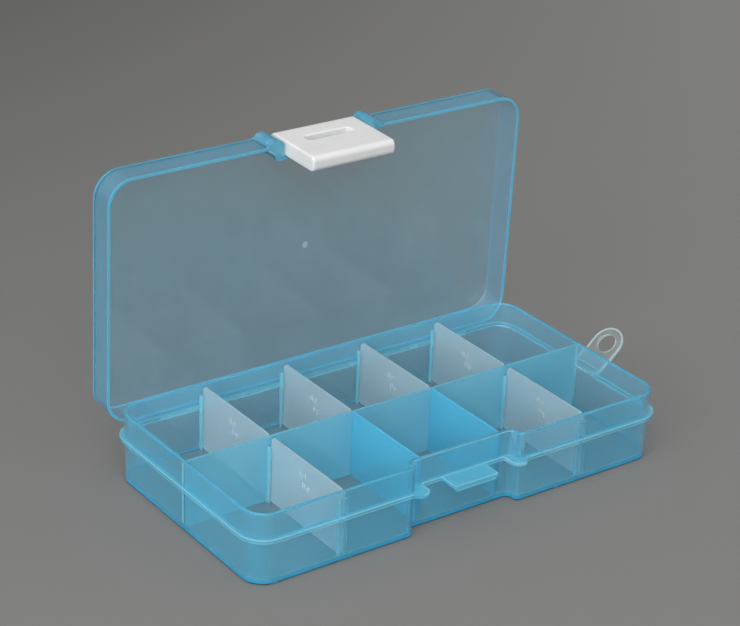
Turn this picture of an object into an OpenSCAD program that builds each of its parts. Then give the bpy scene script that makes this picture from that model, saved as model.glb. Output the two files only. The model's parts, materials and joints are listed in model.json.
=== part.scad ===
// Ten-bay bead organizer box.
// One clear moulded tray has two rows of five bays. Six of its cross walls are
// loose plates that drop between pairs of guide ribs. The lid folds on a film
// hinge along the back of the tray's flange, and its latch swings between two
// ears and takes the tray's keeper tongue in a slot.
// X runs along the length, Y from front to back and Z up. The origin is the
// centre of the tray's footprint on the surface it stands on. All sizes in mm.

/* [Tray] */
// Outside length of the tray
tray_l = 130; // [105:1:180]
// Outside width of the tray
tray_w = 67.4; // [54:0.2:90]
// Height of the tray's rim
tray_h = 20.2; // [17:0.1:32]
// Thickness of the tray's walls
wall_t = 1.1; // [0.8:0.1:1.4]
// Thickness of the tray's floor
floor_t = 1.2; // [0.8:0.1:2]
// Outside radius of the tray's corners
corner_r = 6.2; // [3:0.1:9]

/* [Flange] */
// Height of the flange's underside
flange_z = 12.5; // [9:0.1:15]
// Thickness of the flange
flange_t = 1.1; // [0.8:0.1:1.6]

/* [Latch recess] */
// Length of the recess in the front wall, between its two steps
recess_l = 32.8; // [26:0.2:44]
// Depth of the recess
recess_d = 3.5; // [2.8:0.1:4.6]
// Radius of each step's outer corner
step_r = 1.9; // [1.2:0.1:2.4]

/* [Ears] */
// Distance of each ear's inner face from the recess's step
ear_in = 3.1; // [2.6:0.1:3.6]
// Radius of an ear's round nose
ear_r = 2.6; // [2.2:0.1:3.2]
// Reach of an ear beyond the flange's edge
ear_reach = 1.6; // [1:0.1:2.2]

/* [Keeper] */
// Width of the keeper tongue
keeper_w = 14; // [10:0.1:20]
// Reach of the tongue from the flange's edge
keeper_reach = 5.8; // [5.4:0.1:7]
// Radius of the tongue's front corners
keeper_r = 1.3; // [0.5:0.1:2]
// Drop of the lip under the tongue's front edge
lip_drop = 0.6; // [0.3:0.1:0.8]
// Thickness of that lip
lip_t = 0.9; // [0.6:0.1:1.1]

/* [Bays] */
// Bays in each row
bays = 5; // [5]
// Thickness of the moulded partitions
part_t = 1; // [0.8:0.1:1.4]
// Thickness of a loose divider
div_t = 1; // [0.8:0.1:1.4]
// Gap between a divider and each guide rib
div_gap = 0.15; // [0.1:0.05:0.3]
// Gap between a divider's ends and the walls
end_gap = 0.25; // [0.15:0.05:0.5]
// Gap under a divider
foot_gap = 0.1; // [0.05:0.05:0.3]
// Distance of a divider's top edge below the rim
div_drop = 0.2; // [0:0.1:1.5]
// Radius of a divider's corners
div_r = 1.3; // [0.5:0.1:3]
// Thickness of a guide rib
rib_t = 0.9; // [0.6:0.1:1.4]
// Depth of a guide rib
rib_d = 1.1; // [0.8:0.1:1.6]
// Distance of the guide ribs' tops below the rim
rib_drop = 2.7; // [1:0.1:6]

/* [Lid] */
// Opening angle of the lid, from closed
lid_angle = 88.7; // [0:0.1:180]
// Height of the closed lid, from its rim to its top
lid_h = 8.3; // [7.6:0.1:11]
// Thickness of the lid's top
lid_top_t = 1.2; // [0.8:0.1:1.5]
// Thickness of the lid's skirt
lid_t = 0.9; // [0.7:0.1:1.3]
// Gap between the skirt and the tray's walls
lid_gap = 0.35; // [0.3:0.05:0.5]
// Gap between the closed lid's rim and the flange
seat_gap = 0.1; // [0.05:0.05:0.2]

/* [Film hinge] */
// Length of the film hinge
hinge_l = 102.8; // [70:0.2:110]
// Radius of the hinge's bead
hinge_r = 0.5; // [0.4:0.05:0.5]
// Distance of the fold line behind the flange's edge
hinge_out = 0.27; // [0.25:0.01:0.4]
// Set-back of the flange along the hinge
hinge_trim = 0.55; // [0.3:0.05:0.8]
// Thickness of the web between the flange and the bead
web_t = 0.6; // [0.4:0.1:0.8]

/* [Latch] */
// Swing of the latch away from the lid
latch_angle = 0; // [0:1:100]
// Thickness of the latch
latch_t = 4.3; // [3.6:0.1:4.4]
// Length of the latch, from its pins to its lower edge
latch_l = 18.7; // [16:0.1:18.8]
// Gap between the latch and each ear
latch_side_gap = 0.3; // [0.2:0.05:0.5]
// Gap between the latch and the lid's front
latch_back_gap = 0.15; // [0.15:0.05:0.4]
// Radius of the latch's lower corners
latch_r = 1.5; // [0.6:0.1:1.7]
// Distance of the latch's pins below the lid's top
pin_drop = 2.6; // [2.3:0.1:3]
// Radius of the latch's pins
pin_r = 0.95; // [0.8:0.05:1.1]
// Length of the latch's pins
pin_l = 2.2; // [1.4:0.1:2.4]
// Radial gap between a pin and its hole
pin_gap = 0.08; // [0.05:0.01:0.1]
// Gap beyond the end of a pin in its hole
pin_end_gap = 0.2; // [0.1:0.1:0.4]
// Gap at each end of the tongue in the latch's slot
slot_side_gap = 0.35; // [0.2:0.05:0.6]
// Gap above the tongue in the slot
slot_top_gap = 0.9; // [0.7:0.1:1.2]
// Gap below the lip in the slot
slot_foot_gap = 0.6; // [0.2:0.1:0.8]

/* [Hang tab] */
// Width of the hang tab
tab_w = 10.3; // [8:0.1:14]
// Thickness of the hang tab
tab_t = 1; // [0.7:0.1:1.1]
// Length of the flat root of the tab
tab_root = 1.9; // [1:0.1:4]
// Distance from the tab's fold to its hole
tab_l = 7.9; // [6:0.1:12]
// Angle at which the tab is bent up
tab_angle = 42; // [0:1:60]
// Radius of the hole in the tab
tab_hole_r = 2.7; // [1.5:0.1:3.5]
// Distance of the tab from the middle of the end wall, towards the front
tab_offset = 1.5; // [0:0.1:10]

/* [Hidden] */
$fn = 96;
eps = 0.01;

skirt_out = lid_gap + lid_t;
step_r_in = recess_d - step_r;
inner_l = tray_l - 2 * wall_t;
inner_w = tray_w - 2 * wall_t;
pitch = (inner_l + part_t) / bays;
row_w = (inner_w - part_t) / 2;

flange_top = flange_z + flange_t;
flange_edge = tray_w / 2 + skirt_out;
recess_wall_y = -tray_w / 2 + recess_d;
recess_edge_y = recess_wall_y - skirt_out;
ear_x = recess_l / 2 - ear_in;
ear_y = -flange_edge - ear_reach + ear_r;

keeper_front_y = recess_edge_y - keeper_reach;

lid_z = flange_top + seat_gap;
lid_top = lid_z + lid_h;
hinge_y = flange_edge + hinge_out;
hinge_z = flange_z + flange_t / 2;

latch_in_y = recess_edge_y - latch_back_gap;
latch_w = 2 * (ear_x - latch_side_gap);
pin_y = latch_in_y - latch_t / 2;
pin_z = lid_top - pin_drop;
latch_foot = pin_z - latch_l;
slot_z0 = flange_z - lip_drop - slot_foot_gap;
slot_z1 = flange_top + slot_top_gap;

div_slot = div_t + 2 * div_gap;
div_h = tray_h - div_drop - floor_t - foot_gap;
rib_h = tray_h - rib_drop;

tab_fold_x = tray_l / 2 + skirt_out + tab_root;
tab_z = flange_z + tab_t / 2;

clear_blue = [0.36, 0.66, 0.82, 0.55];
lid_blue = [0.42, 0.62, 0.74, 0.5];
milky = [0.68, 0.77, 0.82, 0.75];
white = [0.9, 0.9, 0.9, 1];

// ---------------------------------------------------------------- plan shapes

// A rectangle with round corners, centred on the origin.
module round_rect(l, w, r) {
  square([l - 2 * r, w], center = true);
  square([l, w - 2 * r], center = true);
  for (sx = [-1, 1])
    for (sy = [-1, 1])
      translate([sx * (l / 2 - r), sy * (w / 2 - r)])
        circle(r);
}

// One end of the recess's cut, whose step is an S of two quarter circles.
module recess_end(g) {
  a = recess_l / 2 - g;
  r_out = step_r + g;
  r_in = step_r_in - g;
  front = -tray_w / 2 - g;
  difference() {
    translate([0, front - 1])
      square([a, recess_d + 1]);
    difference() {
      translate([a - r_in, front + recess_d - r_in])
        square([r_in + eps, r_in + eps]);
      translate([a - r_in, front + recess_d - r_in])
        circle(r_in);
    }
  }
  difference() {
    translate([a - eps, front - 1])
      square([r_out + eps, r_out + 1]);
    translate([a + r_out, front + r_out])
      circle(r_out);
  }
}

// The tray's outline, grown outwards by g.
module outline(g) {
  difference() {
    round_rect(tray_l + 2 * g, tray_w + 2 * g, corner_r + g);
    recess_end(g);
    mirror([1, 0])
      recess_end(g);
  }
}

// The two round noses on either side of the latch.
module ears() {
  for (s = [0, 1])
    mirror([s, 0]) {
      translate([ear_x + ear_r, ear_y])
        circle(ear_r);
      translate([ear_x, ear_y])
        square([ear_in, recess_wall_y - lid_gap - ear_y]);
    }
}

// The flange's and the skirt's outer outline.
module outer_plan() {
  outline(skirt_out);
  ears();
}

// ---------------------------------------------------------------------- tray

// The walls and the floor.
module shell() {
  linear_extrude(floor_t)
    outline(0);
  linear_extrude(tray_h)
    difference() {
      outline(0);
      outline(-wall_t);
    }
}

// The flange that the closed lid stands on, set back along the hinge.
module flange() {
  translate([0, 0, flange_z])
    linear_extrude(flange_t)
      difference() {
        outer_plan();
        outline(-wall_t / 2);
        translate([-hinge_l / 2, flange_edge - hinge_trim])
          square([hinge_l, hinge_trim + 1]);
      }
}

// The long partition, and the two moulded cross walls behind the recess.
module partitions() {
  translate([-inner_l / 2 - wall_t / 2, -part_t / 2, 0])
    cube([inner_l + wall_t, part_t, tray_h]);
  for (s = [-1, 1])
    translate([s * pitch / 2 - part_t / 2, recess_wall_y + wall_t / 2, 0])
      cube([part_t, -recess_wall_y - wall_t / 2, tray_h]);
}

// Two guide ribs on a wall whose face is at y, standing out towards dir.
module rib_pair(x, y, dir) {
  for (s = [-1, 1])
    translate([x + s * (div_slot + rib_t) / 2, y + dir * (rib_d - wall_t / 2) / 2, rib_h / 2])
      cube([rib_t, rib_d + wall_t / 2, rib_h], center = true);
}

// The rib pairs of both rows.
module ribs() {
  for (k = [-1.5, -0.5, 0.5, 1.5]) {
    rib_pair(k * pitch, inner_w / 2, -1);
    rib_pair(k * pitch, part_t / 2, 1);
  }
  for (k = [-1.5, 1.5]) {
    rib_pair(k * pitch, -inner_w / 2, 1);
    rib_pair(k * pitch, -part_t / 2, -1);
  }
}

// The tongue that the latch takes in its slot, with a lip under its front edge.
module keeper() {
  reach = recess_wall_y - keeper_front_y;
  translate([0, 0, flange_z])
    linear_extrude(flange_t)
      keeper_plan(reach);
  translate([0, 0, flange_z - lip_drop])
    linear_extrude(lip_drop + eps)
      intersection() {
        keeper_plan(reach);
        translate([-keeper_w / 2, keeper_front_y])
          square([keeper_w, lip_t]);
      }
}

// The tongue seen from above.
module keeper_plan(reach) {
  translate([-keeper_w / 2, keeper_front_y + keeper_r])
    square([keeper_w, reach - keeper_r + wall_t / 2]);
  translate([-keeper_w / 2 + keeper_r, keeper_front_y])
    square([keeper_w - 2 * keeper_r, reach]);
  for (s = [-1, 1])
    translate([s * (keeper_w / 2 - keeper_r), keeper_front_y + keeper_r])
      circle(keeper_r);
}

// The tab that hangs the box on a peg: a flat root, a fold and a round end.
module hang_tab() {
  translate([tray_l / 2 - wall_t / 2, -tab_offset - tab_w / 2, flange_z])
    cube([wall_t / 2 + skirt_out + tab_root, tab_w, tab_t]);
  translate([tab_fold_x, -tab_offset, tab_z]) {
    rotate([90, 0, 0])
      cylinder(h = tab_w, r = tab_t / 2, center = true);
    rotate([0, -tab_angle, 0])
      translate([0, 0, -tab_t / 2])
        linear_extrude(tab_t)
          difference() {
            union() {
              translate([0, -tab_w / 2])
                square([tab_l, tab_w]);
              translate([tab_l, 0])
                circle(tab_w / 2);
            }
            translate([tab_l, 0])
              circle(tab_hole_r);
          }
  }
}

// The whole moulded tray.
module tray() {
  color(clear_blue) {
    shell();
    flange();
    partitions();
    ribs();
    keeper();
    hang_tab();
  }
}

// The fold between the tray and the lid: a web and a bead on the fold line.
module hinge_film() {
  color(clear_blue) {
    translate([0, hinge_y, hinge_z])
      rotate([0, 90, 0])
        cylinder(h = hinge_l, r = hinge_r, center = true);
    translate([-hinge_l / 2, flange_edge - hinge_trim, hinge_z - web_t / 2])
      cube([hinge_l, hinge_trim + hinge_out, web_t]);
  }
}

// ----------------------------------------------------------------------- lid

// Turns what is drawn for the closed lid to the lid's opening angle.
module opened() {
  translate([0, hinge_y, hinge_z])
    rotate([-lid_angle, 0, 0])
      translate([0, -hinge_y, -hinge_z])
        children();
}

// The lid, whose ears carry the latch's pins.
module lid() {
  color(lid_blue)
    opened()
      difference() {
        translate([0, 0, lid_z])
          linear_extrude(lid_h)
            outer_plan();
        translate([0, 0, lid_z - 1])
          linear_extrude(lid_h - lid_top_t + 1)
            outline(lid_gap);
        pin_pair(pin_r + pin_gap, latch_side_gap + pin_l + pin_end_gap);
      }
}

// Two round bars on the latch's axis, outwards from just inside its sides.
module pin_pair(r, reach) {
  for (s = [0, 1])
    mirror([s, 0, 0])
      translate([latch_w / 2 - latch_side_gap, pin_y, pin_z])
        rotate([0, 90, 0])
          cylinder(h = reach + latch_side_gap, r = r);
}

// --------------------------------------------------------------------- latch

// The latch seen from the side: a round barrel and a plate with a round foot.
module latch_side() {
  translate([pin_y, pin_z])
    circle(latch_t / 2);
  translate([pin_y - latch_t / 2, latch_foot + latch_r])
    square([latch_t, latch_l - latch_r]);
  translate([pin_y - latch_t / 2 + latch_r, latch_foot])
    square([latch_t - 2 * latch_r, latch_r + eps]);
  for (s = [-1, 1])
    translate([pin_y + s * (latch_t / 2 - latch_r), latch_foot + latch_r])
      circle(latch_r);
}

// The latch, turned on its pins.
module latch() {
  color(white)
    opened()
      translate([0, pin_y, pin_z])
        rotate([-latch_angle, 0, 0])
          translate([0, -pin_y, -pin_z]) {
            difference() {
              translate([-latch_w / 2, 0, 0])
                rotate([90, 0, 90])
                  linear_extrude(latch_w)
                    latch_side();
              latch_slot();
            }
            pin_pair(pin_r, pin_l);
          }
}

// The slot that the keeper tongue passes through.
module latch_slot() {
  w = keeper_w + 2 * slot_side_gap;
  translate([-w / 2, pin_y - latch_t / 2 - 1, slot_z0])
    cube([w, latch_t + 2, slot_z1 - slot_z0]);
}

// ------------------------------------------------------------------ dividers

// A loose divider at x, whose near end faces the wall at y0, in a bay len long.
module divider(x, y0, len) {
  l = len - 2 * end_gap;
  color(milky)
    translate([x - div_t / 2, y0 + len / 2, floor_t + foot_gap + div_h / 2])
      rotate([90, 0, 90])
        linear_extrude(div_t)
          round_rect(l, div_h, div_r);
}

// A divider of the back row.
module divider_back(k) {
  divider((k - 2.5) * pitch, part_t / 2, row_w);
}

// A divider of the front row.
module divider_front(s) {
  divider(s * 1.5 * pitch, -inner_w / 2, row_w);
}

tray();
hinge_film();
lid();
latch();
divider_back(1);  // divider_back_1
divider_back(2);  // divider_back_2
divider_back(3);  // divider_back_3
divider_back(4);  // divider_back_4
divider_front(-1);  // divider_front_1
divider_front(1);  // divider_front_2
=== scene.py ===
"""Bead organizer box in clear blue plastic: the looks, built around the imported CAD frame.

The file is laid out as an add-on and run as a script. Each piece has its own operator, the sizes and colours
that a maker would change are scene properties, and main() runs the operators in order. Lengths are in metres.
The axes are the frame's: +X along the box towards the hang tab, +Y towards the lid's hinge, +Z up.
"""

import json
import math
from itertools import product

import bmesh
import bpy
from bpy.props import FloatProperty, FloatVectorProperty, PointerProperty
from mathutils import Matrix, Vector


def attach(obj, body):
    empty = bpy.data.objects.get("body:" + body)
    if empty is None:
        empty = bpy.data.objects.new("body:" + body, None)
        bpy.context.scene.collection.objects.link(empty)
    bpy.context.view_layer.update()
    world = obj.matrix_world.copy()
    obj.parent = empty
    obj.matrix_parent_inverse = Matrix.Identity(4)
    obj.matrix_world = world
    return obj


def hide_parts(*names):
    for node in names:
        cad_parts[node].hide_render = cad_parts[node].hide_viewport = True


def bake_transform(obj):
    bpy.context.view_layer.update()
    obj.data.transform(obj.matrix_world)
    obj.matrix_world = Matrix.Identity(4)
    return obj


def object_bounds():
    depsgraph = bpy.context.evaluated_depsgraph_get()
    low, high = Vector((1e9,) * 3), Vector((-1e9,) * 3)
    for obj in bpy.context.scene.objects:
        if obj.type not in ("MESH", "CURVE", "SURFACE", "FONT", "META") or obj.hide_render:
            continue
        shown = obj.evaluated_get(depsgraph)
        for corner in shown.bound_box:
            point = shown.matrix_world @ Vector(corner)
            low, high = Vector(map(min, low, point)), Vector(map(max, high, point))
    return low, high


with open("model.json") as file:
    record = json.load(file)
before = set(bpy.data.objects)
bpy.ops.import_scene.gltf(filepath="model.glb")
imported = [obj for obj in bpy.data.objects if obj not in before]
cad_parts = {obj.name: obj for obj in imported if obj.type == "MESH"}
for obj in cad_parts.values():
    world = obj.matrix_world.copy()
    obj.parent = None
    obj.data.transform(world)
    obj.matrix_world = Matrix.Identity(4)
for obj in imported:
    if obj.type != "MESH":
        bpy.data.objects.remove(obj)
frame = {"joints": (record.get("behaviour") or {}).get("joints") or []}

CAD_LOW, CAD_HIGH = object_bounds()

bl_info = {
    "name": "Bead Organizer Box",
    "version": (1, 0, 0),
    "blender": (4, 5, 0),
    "location": "3D View > Sidebar > Bead Box",
    "description": "Builds a clear hinged box with loose dividers around its CAD frame",
    "category": "Add Mesh",
}

MM = 0.001
# plain mould marks on a divider: across, down from its top edge and height, in mm
MOULD_MARKS = (
    (-2.5, 4.5, 1.2),
    (-1.7, 4.2, 1.8),
    (-0.9, 4.8, 1.1),
    (0.0, 4.3, 1.5),
    (-1.0, 7.2, 1.7),
    (-0.2, 6.9, 1.1),
    (0.7, 7.5, 1.6),
    (1.6, 7.0, 1.2),
)
# parts of a face's normal along an axis: facing it squarely, turned to it slightly, and just below level
SQUARE = 0.95
SLIGHT = 0.3
DOWNWARD = -0.05
# edges that turn by at least this many degrees stay sharp
SHARP_FROM = 32
# heights of the tray's foot band, with painted shade where it meets the floor, and of the painted glow above
# it, in floor thicknesses
BAND = 1.1
GLOW = 1.9
# columns of the loose dividers in the back and the front row, in bay pitches from the middle
COLUMNS = {1: (-1.5, -0.5, 0.5, 1.5), -1: (-1.5, 1.5)}
# refraction of the plastics, and how much darker their second colour is
CLEAR_IOR = 1.49
WHITE_IOR = 1.5
TINT_SHADE = 0.97
HAZE_SHADE = 0.9
WHITE_SHADE = 0.965
# the sockets of a colour mix, which are known by number only
MIX_FACTOR = 0
MIX_A = 6
MIX_B = 7
MIX_COLOUR = 2
# directions on the floor, as the camera sees it: away from it and to its right
AWAY = (0.6, 0.8, 0)
RIGHT = (0.81, -0.58, 0)

# what lets light through, and its tint
TINTS = {
    "blue": ("the blue plastic", (0.925, 0.97, 1.0)),
    "pane": ("the lid's panel or the floor", (0.93, 0.985, 1.0)),
    "tab": ("the hang tab", (0.97, 0.99, 0.99)),
    "divider": ("a divider", (0.93, 0.98, 0.99)),
}
# what scatters light, and the colour of that light; for some edges, the foot and the sole this colour is
# painted light
HAZES = {
    "blue": ("the blue plastic", (0.09, 0.66, 0.96)),
    "partition": ("the long partition", (0.19, 0.64, 0.84)),
    "skirt": ("the lid's skirt", (0.06, 0.60, 0.95)),
    "edge": ("a blue edge", (0.12, 0.64, 0.92)),
    "bend": ("the painted highlight on the lid's outer edge", (0.12, 0.66, 0.98)),
    "foot": ("the tray's foot", (0.02, 0.50, 0.92)),
    "sole": ("the painted contact shadow under the foot", (0.01, 0.07, 0.12)),
    "rib": ("a guide rib", (0.30, 0.78, 0.94)),
    "flange": ("the flange", (0.14, 0.66, 0.90)),
    "lip": ("the flange's edge", (0.34, 0.80, 0.93)),
    "film": ("the bent film hinge", (0.50, 0.95, 0.98)),
    "nose": ("a thick nose of the lid", (0.08, 0.42, 0.62)),
    "tab": ("the hang tab", (0.55, 0.74, 0.74)),
    "tab_edge": ("the hang tab's edge", (0.62, 0.78, 0.76)),
    "mark": ("a mould mark", (0.70, 0.83, 0.88)),
    "divider": ("a divider", (0.52, 0.70, 0.78)),
}
# the clear plastics: name, tint, haze, share of light scattered, and roughness where smooth and where worn
PLASTICS = {
    # painted light: the bend, rim, edge, rib, lip and tab edge plastics paint a glow or a highlight on edges;
    # the foot carries painted shade and the sole is a painted contact shadow
    "wall": ("Clear blue plastic", "blue", "blue", 0.165, 0.05, 0.16),
    "partition": ("Blue partition plastic", "blue", "partition", 0.48, 0.06, 0.16),
    "cross": ("Blue cross wall plastic", "blue", "edge", 0.45, 0.06, 0.16),
    "skirt": ("Clear blue skirt", "blue", "skirt", 0.11, 0.06, 0.16),
    "bend": ("Lit lid edge", "blue", "bend", 0.52, 0.1, 0.2),
    "step": ("Blue recess step", "blue", "edge", 0.22, 0.1, 0.2),
    "rim": ("Soft blue rim", "blue", "edge", 0.36, 0.14, 0.25),
    "edge": ("Lit blue rim", "blue", "edge", 0.5, 0.12, 0.25),
    "foot": ("Deep blue foot", "blue", "foot", 0.55, 0.12, 0.25),
    "sole": ("Painted contact shadow sole", "blue", "sole", 0.6, 0.2, 0.3),
    "rib": ("Lit guide rib", "blue", "rib", 0.46, 0.12, 0.25),
    "flange": ("Pale blue flange", "blue", "flange", 0.36, 0.12, 0.25),
    "lip": ("Lit flange edge", "blue", "lip", 0.5, 0.1, 0.22),
    "film": ("Bent hinge film", "blue", "film", 0.7, 0.2, 0.35),
    "nose": ("Thick blue nose", "blue", "nose", 0.6, 0.2, 0.35),
    "pane": ("Clear pane", "pane", "blue", 0.085, 0.12, 0.24),
    "tab": ("Clear hang tab", "tab", "tab", 0.03, 0.06, 0.18),
    "tab_edge": ("Lit hang tab edge", "tab", "tab_edge", 0.4, 0.1, 0.2),
    "mark": ("Raised mould mark", "divider", "mark", 0.5, 0.2, 0.3),
    "divider": ("Milky divider plastic", "divider", "divider", 0.42, 0.28, 0.42),
}


def length(label, about, millimetres):
    """A length property with its default in millimetres."""
    return FloatProperty(name=label, description=about, default=millimetres * MM, unit="LENGTH", precision=5)


def colour(label, about, value):
    """A colour property, in linear light."""
    return FloatVectorProperty(name=label, description=about, default=value, subtype="COLOR", min=0, max=1)


def share(label, about, value):
    """A share from 0 to 1."""
    return FloatProperty(name=label, description=about, default=value, min=0, max=1, subtype="FACTOR")


def position(label, about, value):
    """A place in the scene."""
    return FloatVectorProperty(name=label, description=about, default=value, subtype="TRANSLATION")


def direction(label, about, value):
    """A direction in the scene."""
    return FloatVectorProperty(name=label, description=about, default=value, subtype="DIRECTION")


def number(label, about, value):
    """A plain number."""
    return FloatProperty(name=label, description=about, default=value)


def plastic_settings():
    """The clear plastics' tints, hazes and shares of haze, as properties."""
    found = {}
    for key, (thing, value) in TINTS.items():
        found[key + "_tint"] = colour(f"{key.capitalize()} tint", f"Colour that {thing} lets through", value)
    for key, (thing, value) in HAZES.items():
        label = key.replace("_", " ").capitalize()
        found[key + "_haze"] = colour(f"{label} haze", f"Colour that {thing} scatters", value)
    for key, row in PLASTICS.items():
        found[key + "_share"] = share(f"{row[0]} haze share", "Share of light that it scatters", row[3])
    return found


# ------------------------------------------------------------------------------------------------ properties


class BEADBOX_PG_tray(bpy.types.PropertyGroup):
    """Sizes of the tray."""

    length: length("Length", "Outside length of the tray", 130)
    width: length("Width", "Outside width of the tray", 67.4)
    height: length("Height", "Height of the rim", 20.2)
    wall: length("Wall", "Thickness of the walls", 1.1)
    floor: length("Floor", "Thickness of the floor", 1.2)
    corner: length("Corner", "Outside radius of the corners", 6.2)
    draft: length("Draft", "How much each wall leans in at its foot", 0.25)
    foot_round: length("Foot rounding", "Radius of the outside bottom edge", 0.6)
    cove: length("Cove", "Radius between the floor and the walls, inside", 0.3)
    lip_round: length("Rim rounding", "Radius of the rim's two edges", 0.3)
    recess_half: length("Recess half length", "Half the length of the latch recess", 16.4)
    recess_depth: length("Recess depth", "Depth of the latch recess", 3.5)
    step_round: length("Step rounding", "Radius of each recess step's outer corner", 1.9)
    flange_low: length("Flange underside", "Height of the flange's underside", 12.5)
    flange_thick: length("Flange thickness", "Thickness of the flange", 1.1)
    flange_reach: length("Flange reach", "Reach of the flange from the wall", 1.25)
    flange_round: length("Flange rounding", "Radius of the flange's two edges", 0.16)
    hinge_half: length("Hinge half length", "Half the length of the film hinge", 51.4)
    hinge_setback: length("Hinge set-back", "Set-back of the flange along the hinge", 0.55)


class BEADBOX_PG_nose(bpy.types.PropertyGroup):
    """Sizes of the two noses beside the latch, on the flange and on the lid."""

    inner: length("Inner face", "Distance of each nose's inner face from the middle", 13.3)
    radius: length("Radius", "Radius of a nose", 2.6)
    reach: length("Reach", "Reach of a nose beyond the flange's edge", 1.6)
    blend: length("Blend", "Radius between a nose and the long edge", 2.0)
    corner: length("Corner", "Radius between a nose and the recess", 0.3)


class BEADBOX_PG_fittings(bpy.types.PropertyGroup):
    """Sizes of the partitions, the ribs, the keeper and the hang tab."""

    pitch: length("Bay pitch", "Distance between the cross walls", 25.76)
    partition: length("Partition", "Thickness of the moulded partitions at the floor", 1.0)
    partition_top: length("Partition top", "Thickness of the moulded partitions at their tops", 0.6)
    partition_drop: length("Partition drop", "Distance of the partitions' tops below the rim", 0.05)
    rib_near: length("Rib, near side", "Distance of a rib's near side from its divider's middle", 0.68)
    rib_thick: length("Rib thickness", "Thickness of a guide rib", 0.7)
    rib_depth: length("Rib depth", "Depth of a guide rib", 1.1)
    rib_drop: length("Rib drop", "Distance of the ribs' tops below the rim", 2.7)
    seam: length("Seam", "Half the width of the lit seam where the long partition meets a wall", 0.4)
    rib_round: length("Rib rounding", "Radius of a rib's edges", 0.2)
    keeper_half: length("Keeper half width", "Half the width of the keeper tongue", 7.0)
    keeper_reach: length("Keeper reach", "Reach of the tongue from the flange's edge", 5.8)
    keeper_corner: length("Keeper corner", "Radius of the tongue's front corners", 0.55)
    keeper_lip: length("Keeper lip", "Thickness of the lip under the tongue's front edge", 0.9)
    keeper_drop: length("Lip drop", "Drop of that lip", 0.6)
    tab_half: length("Tab half width", "Half the width of the hang tab", 5.15)
    tab_thick: length("Tab thickness", "Thickness of the hang tab", 1.0)
    tab_root: length("Tab root", "Length of the tab's flat root", 1.9)
    tab_length: length("Tab length", "Distance from the tab's fold to its hole", 7.9)
    tab_hole: length("Tab hole", "Radius of the hole in the tab", 2.7)
    tab_offset: length("Tab offset", "Distance of the tab from the middle, towards the front", 1.5)
    tab_angle: FloatProperty(
        name="Tab angle",
        description="Angle at which the tab is bent up",
        default=math.radians(42),
        subtype="ANGLE",
    )


class BEADBOX_PG_lid(bpy.types.PropertyGroup):
    """Sizes of the lid, drawn closed."""

    low: length("Rim height", "Height of the closed lid's rim", 13.7)
    top: length("Top height", "Height of the closed lid's top", 22.0)
    top_thick: length("Top thickness", "Thickness of the lid's top", 1.2)
    gap: length("Gap", "Gap between the skirt and the tray's walls", 0.35)
    draft: length("Draft", "How much the skirt leans in at its top", 0.12)
    crown_round: length("Crown rounding", "Radius of the edge round the top, outside", 0.8)
    crown_cove: length("Crown cove", "Radius between the top and the skirt, inside", 0.5)
    rim_round: length("Rim rounding", "Radius of the rim's outer edge", 0.22)
    gate: length("Gate mark", "Radius of the moulding gate's dimple in the middle of the top", 1.0)
    gate_depth: length("Gate depth", "Depth of that dimple", 0.3)


class BEADBOX_PG_latch(bpy.types.PropertyGroup):
    """Sizes of the latch, drawn closed."""

    back: length("Back", "Distance of the latch's back face from the box's middle", 31.6)
    thick: length("Thickness", "Thickness of the latch", 4.3)
    half: length("Half width", "Half the width of the latch", 13.0)
    foot: length("Foot", "Height of the latch's lower edge", 0.7)
    pin_height: length("Pin height", "Height of the latch's pins", 19.4)
    pin: length("Pin radius", "Radius of the latch's pins", 0.95)
    pin_length: length("Pin length", "Length of the latch's pins", 2.2)
    pin_gap: length("Pin gap", "Radial gap between a pin and its hole", 0.08)
    foot_round: length("Foot rounding", "Radius of the lower edges", 1.5)
    edge_round: length("Edge rounding", "Radius of the side edges", 0.5)
    slot_half: length("Slot half length", "Half the length of the slot", 7.2)
    slot_low: length("Slot foot", "Height of the slot's lower side", 11.3)
    slot_high: length("Slot head", "Height of the slot's upper side", 14.5)
    slot_corner: length("Slot corner", "Radius of the slot's corners", 0.9)
    slot_flare: length("Slot flare", "How much the slot's mouth is opened out", 0.35)


class BEADBOX_PG_divider(bpy.types.PropertyGroup):
    """Sizes of a loose divider."""

    thick: length("Thickness", "Thickness of a divider", 1.0)
    near: length("Near end", "Distance of a divider's near end from the box's middle", 0.75)
    far: length("Far end", "Distance of a divider's far end from the box's middle", 32.35)
    low: length("Foot", "Height of a divider's foot", 1.3)
    top: length("Top", "Height of a divider's top edge", 20.0)
    corner: length("Corner", "Radius of a divider's corners", 1.3)
    edge_round: length("Edge rounding", "Radius of a divider's edges", 0.2)
    taper: share("Taper", "Share of its thickness that a divider loses towards its top", 0.35)
    mark_half: length("Mark half width", "Half the width of a mould mark", 0.2)
    mark_proud: length("Mark height", "How far the mould marks stand proud", 0.2)


class BEADBOX_PG_colours(bpy.types.PropertyGroup):
    """Colours and finishes."""

    __annotations__ = plastic_settings()
    lamp_share: share("Lamp share", "Share of a lamp's light that each surface lets through", 0.8)
    foot_lamp_share: share("Foot lamp share", "The same for the tray's foot", 0.3)
    latch: colour("Latch", "Colour of the latch", (0.80, 0.80, 0.80))
    # the floor is painted darker on its far left, as painted shade
    floor_light: colour("Floor, light", "Colour of the floor's light side", (0.268, 0.266, 0.258))
    floor_painted_shade: colour("Floor, painted shade", "Colour of the painted shade on the floor's far left", (0.160, 0.159, 0.153))


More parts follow.
